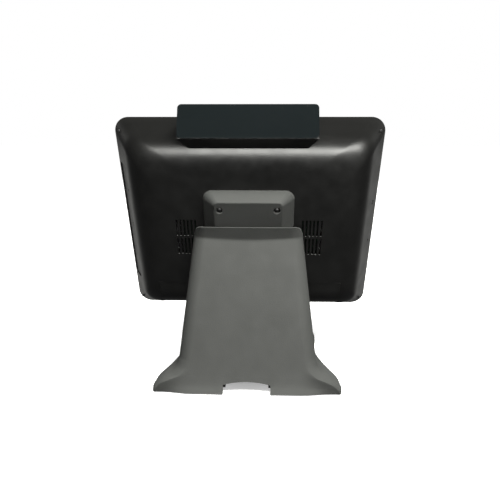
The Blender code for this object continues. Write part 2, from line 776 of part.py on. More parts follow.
# ---- customer display -------------------------------------------------------------------------
def display_section():
    """(n, s) outline of the housing: face, top, front, then along the rear cover's shoulder."""
    seat = []
    for inset, n in offset_profile(pillow_profile("top"), -0.0006):
        if DISPLAY_FRONT_N + 0.002 < n < 0.0475:
            seat.append((n, SCREEN_H / 2 - inset))
    start_s = SCREEN_H / 2 - INSETS["top"][0] * DISPLAY_FRONT_N / WALL_TOP_N + 0.0006
    face_low, face_high = Vector(DISPLAY_FACE_LOW), Vector(DISPLAY_FACE_HIGH)
    back = face_normal() * -(DISPLAY_WINDOW_T + GAP)
    outline = [
        tuple(face_low + back),
        tuple(face_high + back),
        (DISPLAY_FRONT_N, DISPLAY_FRONT_TOP_S),
        (DISPLAY_FRONT_N, start_s),
    ]
    return outline + seat


def face_normal():
    along = Vector(DISPLAY_FACE_HIGH) - Vector(DISPLAY_FACE_LOW)
    along.normalize()
    return Vector((along.y, -along.x))


def face_point(across, up, depth):
    """A point on the display's face: across it, up from its lower edge, and in from its front."""
    low, high = Vector(DISPLAY_FACE_LOW), Vector(DISPLAY_FACE_HIGH)
    along = (high - low).normalized()
    spot = low + along * up - face_normal() * depth
    return (across, spot.x, spot.y)


def face_block(half_w, low, high, near, far, radius=0.0):
    if radius:
        outline = rounded_rectangle(-half_w, half_w, low, high, radius, 3)
    else:
        outline = [(half_w, low), (half_w, high), (-half_w, high), (-half_w, low)]
    return loft([[face_point(x, up, depth) for x, up in outline] for depth in (near, far)])


def face_height():
    return (Vector(DISPLAY_FACE_HIGH) - Vector(DISPLAY_FACE_LOW)).length


def make_customer_display(axis):
    height = face_height()
    housing = head_object(
        "display_housing",
        extrude_profile(display_section(), -DISPLAY_HALF_W, DISPLAY_HALF_W),
        "black_shell",
        axis,
    )
    wedges = []
    low_s = DISPLAY_FACE_LOW[1] - 0.0025
    for sign in (-1, 1):
        corner = [
            (sign * DISPLAY_HALF_W, low_s),
            (sign * (DISPLAY_HALF_W + 0.02), low_s),
            (sign * (DISPLAY_HALF_W + 0.02), 0.115),
            (sign * (DISPLAY_LOW_HALF_W - 0.004), 0.115),
        ]
        wedges.append(loft([[(x, n, s) for x, s in corner] for n in (0.005, 0.080)]))
    boolean(housing, head_cutter("display_corner_cuts", merge(wedges), axis))
    front = DISPLAY_WINDOW_T + GAP
    cavity = face_block(0.080, 0.006, height - 0.006, front - 0.004, front + 0.0165)
    boolean(housing, head_cutter("display_cavity", cavity, axis))
    window = face_block(DISPLAY_HALF_W, 0.0, height, 0.0, DISPLAY_WINDOW_T, 0.0030)
    head_object("display_window", window, "smoked_window", axis)
    tube = face_block(0.076, 0.009, height - 0.009, front + 0.0010, front + 0.0080)
    head_object("display_tube", tube, "display_tube", axis)
    board = face_block(0.079, 0.0075, height - 0.0075, front + 0.0090, front + 0.0106)
    head_object("display_board", board, "circuit_board", axis)


# ---- bell-shaped stand ------------------------------------------------------------------------
TOP_LIP = (                     # height, how far the rear face lies from the counter's middle
    (0.2030, 0.0485),
    (0.2018, 0.0500),
    (0.1990, 0.0508),
    (0.1880, 0.0528),
    (0.1800, 0.0560),
)
PANEL_LOW_Z = 0.039
PANEL_LOW_Y = 0.0965
TOP_HALF_W = 0.071
LOW_HALF_W = 0.090
FLARE = (                       # height, then how far the rear, the sides and the front have flared
    (0.0400, 0.00, 0.00, 0.03),
    (0.0340, 0.10, 0.04, 0.14),
    (0.0280, 0.22, 0.12, 0.34),
    (0.0235, 0.33, 0.21, 0.62),
    (0.0190, 0.45, 0.34, 0.82),
    (0.0145, 0.58, 0.50, 0.92),
    (0.0100, 0.72, 0.68, 0.965),
    (0.0060, 0.86, 0.84, 0.985),
    (0.0030, 0.96, 0.95, 0.995),
    (STAND_LOW, 1.00, 1.00, 1.00),
)
FRONT_LINE = (                  # height, front face of the column
    (0.2030, 0.0095),
    (0.1500, 0.0095),
    (0.1000, 0.0055),
    (0.0600, 0.0010),
    (0.0400, -0.0020),
)
FOOT_HALF_WIDTHS = (            # share of the way from the rear to the front, half width
    (0.00, 0.1190),
    (0.07, 0.1240),
    (0.20, 0.1225),
    (0.33, 0.1130),
    (0.48, 0.1020),
    (0.65, 0.0990),
    (0.82, 0.1030),
    (0.94, 0.1040),
    (1.00, 0.1010),
)
SIDE_STEPS = 9


def along_table(table, x, column=1):
    """Read a table that runs up or down in its first column, straight between its rows."""
    rows = sorted(table)
    if x <= rows[0][0]:
        return rows[0][column]
    for low, high in zip(rows, rows[1:]):
        if x <= high[0]:
            share = (x - low[0]) / (high[0] - low[0])
            return low[column] + (high[column] - low[column]) * share
    return rows[-1][column]


def column_rear(z):
    if z >= TOP_LIP[-1][0]:
        return along_table(TOP_LIP, z)
    low_z, low_y = PANEL_LOW_Z, PANEL_LOW_Y
    high_z, high_y = TOP_LIP[-1]
    return low_y + (high_y - low_y) * (max(z, low_z) - low_z) / (high_z - low_z)


def column_half_width(z):
    share = (min(z, STAND_TOP) - PANEL_LOW_Z) / (STAND_TOP - PANEL_LOW_Z)
    return LOW_HALF_W + (TOP_HALF_W - LOW_HALF_W) * max(share, 0.0)


def stand_ring(z, inward=0.0, drop=0.0):
    """The stand's outline at one height, from the middle of the rear round to the front and back."""
    flared = z < FLARE[0][0]
    rear_f = along_table(FLARE, z, 1) if flared else 0.0
    side_f = along_table(FLARE, z, 2) if flared else 0.0
    front_f = along_table(FLARE, z, 3) if flared else 0.0
    rear = column_rear(z) + rear_f * (FOOT_REAR_Y - column_rear(z)) - inward
    front_c = along_table(FRONT_LINE, z)
    front = front_c + front_f * (FOOT_FRONT_Y - front_c) + inward
    column_w = column_half_width(z)
    low_r, high_r = 0.012, 0.014
    rear_r = high_r + (low_r - high_r) * side_f - inward / 2
    front_r = 0.010 + 0.020 * front_f - inward / 2

    def half_width(share):
        foot = along_table(FOOT_HALF_WIDTHS, share)
        return column_w + side_f * (foot - column_w) - inward

    points = []
    rear_w = half_width(0.0)
    points += arc_points(rear_w - rear_r, rear - rear_r, rear_r, 90, 0, 5)
    span_low, span_high = rear - rear_r, front + front_r
    for k in range(1, SIDE_STEPS):
        share = k / SIDE_STEPS
        points.append((half_width(share), span_low + (span_high - span_low) * share))
    front_w = half_width(1.0)
    points += arc_points(front_w - front_r, front + front_r, front_r, 0, -90, 5)
    mirrored = [(-x, y) for x, y in reversed(points)]
    return [(x, y, z - drop) for x, y in points + mirrored]


def stand_heights():
    heights = [row[0] for row in TOP_LIP]
    heights += [0.160, 0.135, 0.110, 0.085, 0.065, 0.050]
    return heights + [row[0] for row in FLARE]


def stand_solid():
    return loft([stand_ring(z) for z in stand_heights()])


def stand_hollow():
    """The inside of the bell: the outside moved in and down, and open at both ends."""
    rings = []
    for z in stand_heights():
        if z > STAND_WALL + 0.001:
            rings.append(stand_ring(z, STAND_WALL, STAND_WALL if z < 0.1 else 0.0))
    top = [(x, y, STAND_TOP + 0.010) for x, y, _ in rings[0]]
    bottom = [(x, y, -0.010) for x, y, _ in rings[-1]]
    return loft([top] + rings + [bottom])


def parting_prism(front_side):
    """Everything in front of, or behind, the joint between the two covers."""
    shift = GAP / 2
    if front_side:
        edge = PARTING_Y - shift
        outline = [(-0.3, -0.1), (edge, -0.1), (edge, FRONT_WALL_TOP), (-0.3, FRONT_WALL_TOP)]
    else:
        edge = PARTING_Y + shift
        outline = [(0.4, -0.1), (edge, -0.1), (edge, 0.184), (0.0270, 0.2060), (0.4, 0.2060)]
    return extrude_profile(outline, -0.2, 0.2)


def make_stand_covers(stand):
    rear = add_object("stand_rear_cover", stand_solid(), "grey_shell", stand, 30)
    boolean(rear, add_cutter("stand_rear_keep", parting_prism(False), stand), "INTERSECT")
    boolean(rear, add_cutter("stand_rear_hollow", stand_hollow(), stand))
    arch_r = (NOTCH_HALF_W ** 2 + NOTCH_RISE ** 2) / (2 * NOTCH_RISE)
    arch_angle = math.degrees(math.asin(NOTCH_HALF_W / arch_r))
    arch_z = NOTCH_SIDE_H + NOTCH_RISE - arch_r
    arch = arc_points(0.0, arch_z, arch_r, 90 - arch_angle, 90 + arch_angle, 8)
    outline = [(NOTCH_HALF_W, -0.010)] + arch + [(-NOTCH_HALF_W, -0.010)]
    notch = loft([[(x, y, z) for x, z in outline] for y in (0.080, 0.130)])
    boolean(rear, add_cutter("cable_notch", notch, stand))
    front = add_object("stand_front_cover", stand_solid(), "grey_shell", stand, 30)
    boolean(front, add_cutter("stand_front_keep", parting_prism(True), stand), "INTERSECT")
    boolean(front, add_cutter("stand_front_hollow", stand_hollow(), stand))


FOOT_PLACES = (
    ("rear_left", -0.086, 0.078),
    ("rear_right", 0.086, 0.078),
    ("front_left", -0.080, -0.088),
    ("front_right", 0.080, -0.088),
)


def make_base(stand):
    outline = [(x, y) for x, y, _ in stand_ring(0.0145, 0.0075)]
    plate = loft([[(x, y, z) for x, y in outline] for z in (PLATE_LOW, PLATE_LOW + PLATE_T)])
    base = add_object("base_plate", plate, "black_steel", stand)
    slot = box((-0.028, 0.080, -0.010), (0.028, 0.120, 0.020))
    boolean(base, add_cutter("base_plate_slot", slot, stand))
    for name, x, y in FOOT_PLACES:
        top = PLATE_LOW - GAP
        profile = [(FOOT_R - 0.0008, 0.0), (FOOT_R, 0.0008), (FOOT_R, top)]
        add_object("foot_" + name, moved(turned(profile, "Z", 20), x, y, 0), "rubber", stand)


def make_column(stand, hinge_at):
    """A folded steel channel: web behind, flanges forward, with an ear round each hinge."""
    low = PLATE_LOW + PLATE_T + GAP
    foot_t = 0.003
    web = box((-COLUMN_HALF_W, COLUMN_WEB_Y - COLUMN_T, low), (COLUMN_HALF_W, COLUMN_WEB_Y, 0.160))
    column = add_object("column_frame", web, "black_steel", stand)
    sole = box((-COLUMN_HALF_W, COLUMN_FRONT_Y + 0.004, low), (COLUMN_HALF_W, 0.070, low + foot_t))
    boolean(column, add_cutter("column_sole", sole, stand), "UNION")
    hy, hz = hinge_at.y, hinge_at.z
    for side, sign in (("left", -1), ("right", 1)):
        outline = [(COLUMN_FRONT_Y + 0.004, low), (COLUMN_WEB_Y, low), (COLUMN_WEB_Y, 0.160)]
        outline += arc_points(hy, hz, EAR_R, 0, 180, 8)
        outline.append((COLUMN_FRONT_Y + 0.004, 0.150))
        low_x, high_x = sorted((sign * COLUMN_HALF_W, sign * (COLUMN_HALF_W - COLUMN_T)))
        flange = add_cutter("column_flange_" + side, extrude_profile(outline, low_x, high_x), stand)
        boolean(column, flange, "UNION")
    hole_r = SHAFT_R + SHAFT_CLEARANCE
    bore = moved(turned([(hole_r, -0.070), (hole_r, 0.070)], "X", 24), 0, hy, hz)
    boolean(column, add_cutter("column_bore", bore, stand))
    window = box((-0.022, 0.020, 0.030), (0.022, 0.060, 0.110))
    boolean(column, add_cutter("column_window", window, stand))
    drills = [
        moved(turned([(0.0023, -0.010), (0.0023, 0.030)], "Z", 12), x, 0.055, 0)
        for x in (-0.036, 0.036)
    ]
    boolean(column, add_cutter("column_drills", merge(drills), stand))
    for name, x in (("left", -0.036), ("right", 0.036)):
        seat = low + foot_t + GAP
        profile = [(0.0020, low), (0.0020, seat), (0.0038, seat)]
        profile += [(0.0038, seat + 0.0018), (0.0028, seat + 0.0026)]
        add_object("column_bolt_" + name, moved(turned(profile, "Z", 14), x, 0.055, 0), "steel", stand)


def make_cable_clip(stand):
    """A plastic saddle on the base plate that leads the cables to the notch."""
    low = PLATE_LOW + PLATE_T + GAP
    outline = [(-0.016, low), (0.016, low), (0.016, low + 0.0018), (0.012, low + 0.0018)]
    outline += [(0.011, low + 0.010), (-0.011, low + 0.010), (-0.012, low + 0.0018), (-0.016, low + 0.0018)]
    saddle = loft([[(x, y, z) for x, z in outline] for y in (0.0715, 0.0785)])
    clip = add_object("cable_clip", saddle, "connector_plastic", stand)
    tunnel = box((-0.0095, 0.060, low - 0.004), (0.0095, 0.090, low + 0.0082))
    boolean(clip, add_cutter("cable_clip_tunnel", tunnel, stand))


# ---- assembly ---------------------------------------------------------------------------------
def add_empty(name, place, turn=0.0, parent=None):
    made = bpy.data.objects.new(name, None)
    bpy.context.scene.collection.objects.link(made)
    made.location = place
    made.rotation_euler = (turn, 0.0, 0.0)
    if parent:
        made.parent = parent
    return made


def build():
    clear_scene()
    stand = add_empty("stand_origin", (0, 0, 0))
    hinge_at = head_to_world(0.0, HINGE_N, HINGE_S)
    axis = add_empty("tilt_axis", hinge_at, -SCREEN_TILT)
    make_rear_cover(axis)
    make_cover_screws(axis)
    make_side_screws(axis)
    make_side_module(axis)
    make_io_cover(axis)
    make_bezel(axis)
    plate_n = make_screen_stack(axis)
    make_power_button(axis)
    board_n = make_electronics(axis, plate_n)
    make_io_bay(axis, board_n)
    make_arm(axis)
    make_hinges(axis, stand)
    make_neck_cover(axis)
    make_neck_screws(axis)
    make_customer_display(axis)
    make_stand_covers(stand)
    make_base(stand)
    make_column(stand, hinge_at)
    make_cable_clip(stand)
    bpy.context.view_layer.update()


build()
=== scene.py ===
import json
import math

import bmesh
import bpy
from mathutils import Matrix, Vector


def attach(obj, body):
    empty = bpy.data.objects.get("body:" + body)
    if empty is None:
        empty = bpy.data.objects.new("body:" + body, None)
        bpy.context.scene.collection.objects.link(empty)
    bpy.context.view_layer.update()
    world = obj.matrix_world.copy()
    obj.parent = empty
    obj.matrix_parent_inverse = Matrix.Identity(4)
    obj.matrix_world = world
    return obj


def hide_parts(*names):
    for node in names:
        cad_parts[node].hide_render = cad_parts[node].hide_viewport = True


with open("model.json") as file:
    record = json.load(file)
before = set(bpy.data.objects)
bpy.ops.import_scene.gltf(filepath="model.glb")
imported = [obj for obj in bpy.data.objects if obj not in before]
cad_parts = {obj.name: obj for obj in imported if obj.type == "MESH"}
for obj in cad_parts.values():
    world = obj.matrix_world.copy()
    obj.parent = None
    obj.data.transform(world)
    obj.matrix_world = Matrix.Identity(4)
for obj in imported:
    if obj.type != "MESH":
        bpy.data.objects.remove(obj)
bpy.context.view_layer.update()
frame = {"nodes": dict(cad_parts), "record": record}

# ---- dimensions, in metres and degrees ----------------------------------------------------------
GAP = 0.0003
WALL = 0.0025
SCREEN_W, SCREEN_H = 0.360, 0.300
SCREEN_CORNER_R = 0.020
SCREEN_CENTRE = Vector((0.0, -0.0375, 0.200))
SCREEN_TILT = math.radians(15.7)
BEZEL_DEPTH, BEZEL_EDGE, BEZEL_DRAFT = 0.014, 0.003, 0.0038
COVER_DEPTH = 0.050
VIEW_W, VIEW_H = 0.306, 0.230
IO_HALF_W, IO_TOP_S, IO_OPEN_N, IO_COVER_LOW_N = 0.133, -0.079, 0.008, 0.036
MODULE_HALF_S, MODULE_LOW, MODULE_HIGH = 0.090, 0.004, 0.026
VESA_HALF, VESA_CENTRE_S = 0.0375, 0.0097
NECK_LOW_S, NECK_TOP_S, NECK_BASE_HALF_W = 0.016, 0.068, 0.061
NECK_FACE_HALF_W, NECK_FACE_TOP_S, NECK_FACE_N = 0.0445, 0.0585, 0.070
VENT_ROWS = ((-0.0010, 0.0229), (-0.0300, -0.0051))
VENT_COUNT, VENT_PITCH, VENT_W, VENT_FIRST_X = 6, 0.00505, 0.0020, 0.0735
COVER_SCREW_X, COVER_SCREW_S, COVER_POCKET_R, COVER_POCKET_N = 0.172, 0.134, 0.0026, 0.0090
SIDE_PLUGS = ((0.0150, 0.034, 0.0032), (0.0150, -0.027, 0.0021))
BUTTON_X, BUTTON_S, BUTTON_HOLE_R = 0.150, -0.1365, 0.0042
DISPLAY_HALF_W, DISPLAY_LOW_HALF_W = 0.087, 0.075
DISPLAY_FACE_LOW, DISPLAY_FACE_HIGH = Vector((0.0621, 0.1413)), Vector((0.0349, 0.1753))
DISPLAY_FRONT_N, DISPLAY_FRONT_TOP_S, DISPLAY_WINDOW_T = 0.008, 0.166, 0.0022
DISPLAY_CORNER_R, DISPLAY_SEAT_N = 0.005, 0.0450
STAND_WALL, STAND_TOP = 0.003, 0.203
FOOT_REAR_Y, FOOT_FRONT_Y = 0.1125, -0.1125
PARTING_Y, FRONT_WALL_TOP = 0.0140, 0.141
PANEL_LOW_Z, TOP_HALF_W, LOW_HALF_W = 0.039, 0.071, 0.090
NOTCH_HALF_W, NOTCH_SIDE_H, NOTCH_RISE = 0.0305, 0.0108, 0.0036

# The head's frame is (x across, n out of the back, s up the screen).
HEAD_TO_ROW = Matrix.Translation(SCREEN_CENTRE) @ Matrix.Rotation(-SCREEN_TILT, 4, "X")


# ---- procedural finishes ------------------------------------------------------------------------
DULLED_GLOSS = (("grey_shell", 0.10), ("smoked_window", 0.18))


def new_material(name, colour, roughness, metallic=0.0):
    made = bpy.data.materials.new(name)
    made.use_nodes = True
    shader = made.node_tree.nodes["Principled BSDF"]
    shader.inputs["Base Color"].default_value = (*colour, 1.0)
    shader.inputs["Roughness"].default_value = roughness
    shader.inputs["Metallic"].default_value = metallic
    return made


def noise(tree, scale, detail=3.0, stretch=None):
    """A noise node read in the row's frame, so its grain has a real size."""
    place = tree.nodes.new("ShaderNodeTexCoord")
    source = place.outputs["Object"]
    if stretch:
        mapping = tree.nodes.new("ShaderNodeMapping")
        mapping.inputs["Scale"].default_value = stretch
        tree.links.new(source, mapping.inputs["Vector"])
        source = mapping.outputs["Vector"]
    made = tree.nodes.new("ShaderNodeTexNoise")
    made.inputs["Scale"].default_value = scale
    made.inputs["Detail"].default_value = detail
    tree.links.new(source, made.inputs["Vector"])
    return made.outputs["Fac"]


def map_range(tree, source, low, high, start=0.3, end=0.7):
    made = tree.nodes.new("ShaderNodeMapRange")
    tree.links.new(source, made.inputs["Value"])
    for socket, value in (("From Min", start), ("From Max", end), ("To Min", low), ("To Max", high)):
        made.inputs[socket].default_value = value
    return made.outputs["Result"]


def mix_colour(tree, share, first, second):
    made = tree.nodes.new("ShaderNodeMix")
    made.data_type = "RGBA"
    tree.links.new(share, made.inputs[0])
    for socket, value in ((made.inputs[6], first), (made.inputs[7], second)):
        if isinstance(value, tuple):
            socket.default_value = (*value, 1.0)
        else:
            tree.links.new(value, socket)
    return made.outputs[2]


def add_surface(made, colour, roughness, grain, depth, strength, vary=0.10, wear=0.0, stretch=None):
    """Colour and roughness variation, a bump of the given grain (1/m), and paler worn edges.

    vary and wear are shares: how far the colour drifts, and how much of the worn tone an edge shows.
    """
    tree = made.node_tree
    shader = tree.nodes["Principled BSDF"]
    broad = map_range(tree, noise(tree, 22.0, 4.0), 0.0, 1.0)
    darker = tuple(c * (1 - vary) for c in colour)
    lighter = tuple(min(c * (1 + vary), 1.0) for c in colour)
    result = mix_colour(tree, broad, darker, lighter)
    if wear:
        geometry = tree.nodes.new("ShaderNodeNewGeometry")
        edge = map_range(tree, geometry.outputs["Pointiness"], 0.0, wear, 0.53, 0.62)
        worn = tuple(min(c * 2.2 + 0.01, 1.0) for c in colour)
        result = mix_colour(tree, edge, result, worn)
    tree.links.new(result, shader.inputs["Base Color"])
    smudge = noise(tree, 55.0, 5.0)
    tree.links.new(map_range(tree, smudge, roughness * 0.88, roughness * 1.12), shader.inputs["Roughness"])
    bump = tree.nodes.new("ShaderNodeBump")
    bump.inputs["Strength"].default_value = strength
    bump.inputs["Distance"].default_value = depth
    tree.links.new(noise(tree, grain, 2.0, stretch), bump.inputs["Height"])
    tree.links.new(bump.outputs["Normal"], shader.inputs["Normal"])
    return made


def make_materials():
    black, grey = (0.0082, 0.0082, 0.0078), (0.082, 0.084, 0.081)
    steel, board = (0.50, 0.50, 0.50), (0.020, 0.110, 0.050)
    # Each row: colour, roughness, metallic, grain, bump depth, bump strength, vary, wear, stretch.
    rows = {
        "black_shell": (black, 0.35, 0.0, 2600, 0.00004, 0.30, 0.08, 0.25, None),
        "grey_shell": (grey, 0.62, 0.0, 1100, 0.00020, 0.75, 0.05, 0.12, None),
        "smoked_window": ((0.0075, 0.0100, 0.0108), 0.16, 0.0, 900, 0.00001, 0.08, 0.03, 0.0, None),
        "touch_glass": ((0.006, 0.007, 0.008), 0.06, 0.0, 300, 0.00001, 0.03, 0.05, 0.0, None),
        "panel_metal": ((0.55, 0.56, 0.57), 0.38, 1.0, 700, 0.00003, 0.2, 0.05, 0.1, (1, 14, 14)),
        "steel": (steel, 0.34, 1.0, 900, 0.00003, 0.25, 0.07, 0.1, (1, 12, 12)),
        "black_steel": ((0.022, 0.022, 0.024), 0.48, 0.0, 1800, 0.00008, 0.45, 0.08, 0.3, None),
        "aluminium": ((0.72, 0.73, 0.74), 0.36, 1.0, 700, 0.00003, 0.25, 0.04, 0.1, (12, 12, 1)),
        "circuit_board": (board, 0.50, 0.0, 1200, 0.00005, 0.3, 0.20, 0.0, None),
        "connector_metal": ((0.60, 0.60, 0.58), 0.28, 1.0, 900, 0.00002, 0.2, 0.06, 0.1, None),
        "connector_plastic": ((0.030, 0.030, 0.034), 0.50, 0.0, 1800, 0.00005, 0.3, 0.08, 0.2, None),
        "rubber": ((0.015, 0.015, 0.015), 0.82, 0.0, 1300, 0.00012, 0.5, 0.15, 0.0, None),
        "display_tube": ((0.05, 0.10, 0.09), 0.10, 0.0, 400, 0.00001, 0.05, 0.05, 0.0, None),
    }
    made = {}
    for slot, (colour, rough, metal, grain, depth, strength, vary, wear, stretch) in rows.items():
        material = new_material(slot, colour, rough, metal)
        made[slot] = add_surface(material, colour, rough, grain, depth, strength, vary, wear, stretch)
    for slot, level in DULLED_GLOSS:
        shader = made[slot].node_tree.nodes["Principled BSDF"]
        shader.inputs["Specular IOR Level"].default_value = level
    return made


MATERIALS = make_materials()
for row in frame["record"]["subparts"]:
    cad_node = frame["nodes"][row["node"]]
    cad_node.data.materials.clear()
    cad_node.data.materials.append(MATERIALS[row["material_slot"]])


# ---- mesh helpers -------------------------------------------------------------------------------
def make_object(name, bm, sharp=35):
    bmesh.ops.recalc_face_normals(bm, faces=bm.faces)
    mesh = bpy.data.meshes.new(name)
    bm.to_mesh(mesh)
    bm.free()
    mesh.shade_smooth()
    mesh.set_sharp_from_angle(angle=math.radians(sharp))
    made = bpy.data.objects.new(name, mesh)
    bpy.context.scene.collection.objects.link(made)
    return made


def apply_modifiers(obj):
    bpy.context.view_layer.update()
    graph = bpy.context.evaluated_depsgraph_get()
    mesh = bpy.data.meshes.new_from_object(obj.evaluated_get(graph))
    obj.modifiers.clear()
    obj.data = mesh


def bake(obj, sharp=35):
    """Replace the object's mesh with what its modifiers make of it, and mark its sharp edges again."""
    apply_modifiers(obj)
    obj.data.shade_smooth()
    obj.data.set_sharp_from_angle(angle=math.radians(sharp))


def cut(obj, tool_bm, operation="DIFFERENCE", sharp=35):
    tool = make_object("tool", tool_bm)
    step = obj.modifiers.new("cut", "BOOLEAN")
    step.operation = operation
    step.solver = "EXACT"
    step.object = tool
    bake(obj, sharp)
    bpy.data.objects.remove(tool, do_unlink=True)


def soften(obj, width, segments=2, angle=40, sharp=35):
    step = obj.modifiers.new("soften", "BEVEL")
    step.width = width
    step.segments = segments
    step.limit_method = "ANGLE"
    step.angle_limit = math.radians(angle)
    bake(obj, sharp)


def weight_normals(obj):
    """Let the large faces set the shading, so a narrow rounded edge doesn't bend it."""
    step = obj.modifiers.new("weight", "WEIGHTED_NORMAL")
    step.keep_sharp = True
    step.weight = 100
    apply_modifiers(obj)


def show(obj, body, slot, *nodes, head=True):
    if head:
        obj.data.transform(HEAD_TO_ROW)
    weight_normals(obj)
    obj.data.materials.clear()
    obj.data.materials.append(MATERIALS[slot])
    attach(obj, body)
    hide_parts(*nodes)
    return obj


def loft(rings, closed=False):
    bm = bmesh.new()
    rows = [[bm.verts.new(point) for point in ring] for ring in rings]
    count = len(rows[0])
    pairs = list(zip(rows, rows[1:]))
    if closed:
        pairs.append((rows[-1], rows[0]))
    for low, high in pairs:
        for i in range(count):
            j = (i + 1) % count
            bm.faces.new((low[i], low[j], high[j], high[i]))
    if not closed:
        bm.faces.new(rows[0])
        bm.faces.new(rows[-1])
    return bm


def merge(parts):
    whole = bmesh.new()
    for part in parts:
        spare = bpy.data.meshes.new("spare")
        part.to_mesh(spare)
        part.free()
        whole.from_mesh(spare)
        bpy.data.meshes.remove(spare)
    return whole


def block(low, high):
    (x0, y0, z0), (x1, y1, z1) = low, high
    return loft([[(x0, y0, z), (x1, y0, z), (x1, y1, z), (x0, y1, z)] for z in (z0, z1)])


def turned(profile, x, s, sides=40):
    """A round solid about the head's n direction, from (radius, n) pairs."""
    turn = 2 * math.pi / sides
    return loft([
        [(x + r * math.cos(turn * k), n, s + r * math.sin(turn * k)) for k in range(sides)]
        for r, n in profile
    ])


def cross_prism(x, s, reach, half, low, high):
    """The cross recess of a screw head, as one outline so that the cutter never meets itself."""
    corners = [(reach, half), (half, half), (half, reach)]
    outline = []
    for _ in range(4):
        outline += corners
        corners = [(-b, a) for a, b in corners]
    return loft([[(x + a, n, s + b) for a, b in outline] for n in (low, high)])


def arc(cx, cy, radius, start, end, steps):
    angles = [math.radians(start + (end - start) * k / steps) for k in range(steps + 1)]
    return [(cx + radius * math.cos(a), cy + radius * math.sin(a)) for a in angles]


def rounded_rectangle(left, right, low, high, radius, steps=14):
    points = arc(right - radius, low + radius, radius, -90, 0, steps)
    points += arc(right - radius, high - radius, radius, 0, 90, steps)
    points += arc(left + radius, high - radius, radius, 90, 180, steps)
    points += arc(left + radius, low + radius, radius, 180, 270, steps)
    return points


def smooth_table(table, x, column=1):
    """A monotone cubic through a table's rows, so a read surface has no creases between them."""
    rows = sorted((row[0], row[column]) for row in table)
    if x <= rows[0][0]:
        return rows[0][1]
    if x >= rows[-1][0]:
        return rows[-1][1]
    slopes = [(b[1] - a[1]) / (b[0] - a[0]) for a, b in zip(rows, rows[1:])]
    tangents = [slopes[0]]
    for before, after in zip(slopes, slopes[1:]):
        tangents.append(0.0 if before * after <= 0 else 2 * before * after / (before + after))
    tangents.append(slopes[-1])
    k = max(i for i in range(len(slopes)) if rows[i][0] <= x)
    width = rows[k + 1][0] - rows[k][0]
    t = (x - rows[k][0]) / width
    return (
        (2 * t ** 3 - 3 * t * t + 1) * rows[k][1]
        + (t ** 3 - 2 * t * t + t) * width * tangents[k]
        + (3 * t * t - 2 * t ** 3) * rows[k + 1][1]
        + (t ** 3 - t * t) * width * tangents[k + 1]
    )


# ---- rear cover ---------------------------------------------------------------------------------
WALL_TOP_N = 0.027
SHOULDER_N = (WALL_TOP_N, 0.046, COVER_DEPTH, COVER_DEPTH)
INSETS = {
    "top": (0.0130, 0.0220, 0.0360, 0.0580),
    "side": (0.0160, 0.0260, 0.0450, 0.0700),
    "bottom": (0.0200, 0.0310, 0.0400, 0.0580),
}
SHOULDER_STEPS = 30


def bezier(c, t):
    u = 1 - t
    return u ** 3 * c[0] + 3 * u * u * t * c[1] + 3 * u * t * t * c[2] + t ** 3 * c[3]


def pillow_profile(side, steps=SHOULDER_STEPS):
    controls = INSETS[side]
    points = [(0.0, GAP / 2), (controls[0] / 2, WALL_TOP_N / 2)]
    shares = [k / steps for k in range(steps + 1)]
    return points + [(bezier(controls, t), bezier(SHOULDER_N, t)) for t in shares]


def offset_profile(points, distance):
    result = []
    for k, (inset, n) in enumerate(points):
        before, after = points[max(k - 1, 0)], points[min(k + 1, len(points) - 1)]
        run, rise = after[0] - before[0], after[1] - before[1]
        length = math.hypot(run, rise)
        result.append((inset + distance * rise / length, n - distance * run / length))
    result[0] = (result[0][0], points[0][1])
    return result


def pillow_rings(distance=0.0):
    sides = {side: offset_profile(pillow_profile(side), distance) for side in INSETS}
    total = len(sides["top"])
    rings = []
    for k in range(total):
        share = max(0.0, (k - 2) / (total - 3))
        radius = 0.022 + 0.008 * share if k else SCREEN_CORNER_R
        outline = rounded_rectangle(
            -SCREEN_W / 2 + sides["side"][k][0], SCREEN_W / 2 - sides["side"][k][0],
            -SCREEN_H / 2 + sides["bottom"][k][0], SCREEN_H / 2 - sides["top"][k][0],
            radius - distance / 2,
        )
        rings.append([(x, sides["top"][k][1], s) for x, s in outline])
    return rings


def wall_frame(sign):
    inset = INSETS["side"][0]
    length = math.hypot(inset, WALL_TOP_N)
    up = Vector((-sign * inset / length, WALL_TOP_N / length, 0.0))
    out = Vector((sign * WALL_TOP_N / length, inset / length, 0.0))
    return Vector((sign * SCREEN_W / 2, 0.0, 0.0)), up, out


def wall_block(sign, low, high, half_s, inner, outer, corner):
    foot, up, out = wall_frame(sign)
    outline = rounded_rectangle(low, high, -half_s, half_s, corner, 6)
    return loft([[foot + up * a + out * d + Vector((0, 0, b)) for a, b in outline] for d in (inner, outer)])


def wall_round(sign, along, s, radius, inner, outer):
    foot, up, out = wall_frame(sign)
    ring = arc(along, s, radius, 0, 345, 23)
    return loft([[foot + up * a + out * d + Vector((0, 0, b)) for a, b in ring] for d in (inner, outer)])


def vent_slots():
    slots = []
    for low, high in VENT_ROWS:
        for k in range(VENT_COUNT):
            for sign in (-1, 1):
                x, half, flare = sign * (VENT_FIRST_X + k * VENT_PITCH), VENT_W / 2, 0.0004
                rings = []
                for n, grow in ((0.040, 0.0), (COVER_DEPTH - flare, 0.0), (COVER_DEPTH + flare, 2 * flare)):
                    reach = half + grow
                    outline = rounded_rectangle(x - reach, x + reach, low - grow, high + grow, half, 4)
                    rings.append([(a, n, b) for a, b in outline])
                slots.append(loft(rings))
    return merge(slots)


